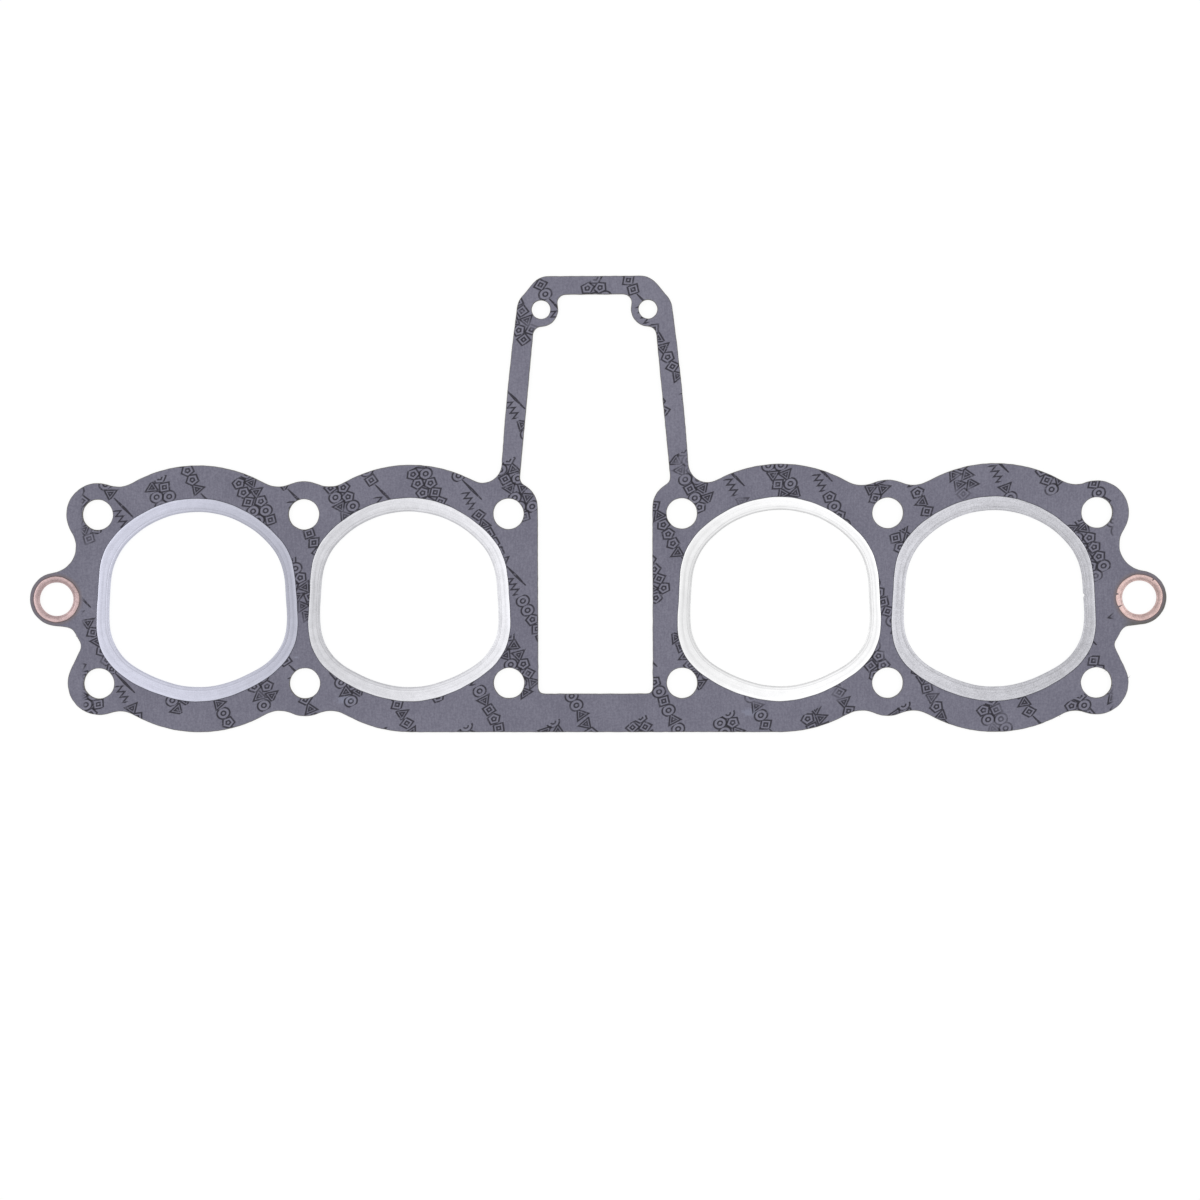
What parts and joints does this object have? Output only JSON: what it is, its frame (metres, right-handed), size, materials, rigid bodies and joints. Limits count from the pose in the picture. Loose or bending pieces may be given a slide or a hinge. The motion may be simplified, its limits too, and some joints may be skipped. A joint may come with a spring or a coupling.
{
  "type": "cylinder head gasket",
  "caption": "Flat head gasket of fibre sheet with rolled metal fire rings round its bores, metal oil eyelets in its end ears, stud holes and a chain tunnel frame.",
  "frame": {"origin": "middle of the stud pattern, half way through the thickness", "axes": "+X along the row of bores, +Y towards the end of the chain tunnel, +Z out of the printed head side"},
  "size_m": [0.424, 0.1699, 0.0018],
  "materials": {
    "fibre_sheet": "matte",
    "ring_steel": "satin",
    "eyelet_copper": "satin"
  },
  "bodies": {
    "root": {"gasket_sheet": "fibre_sheet", "fire_ring_1": "ring_steel", "fire_ring_2": "ring_steel", "fire_ring_3": "ring_steel", "fire_ring_4": "ring_steel", "oil_eyelet_left": "eyelet_copper", "oil_eyelet_right": "eyelet_copper"}
  },
  "joints": []
}
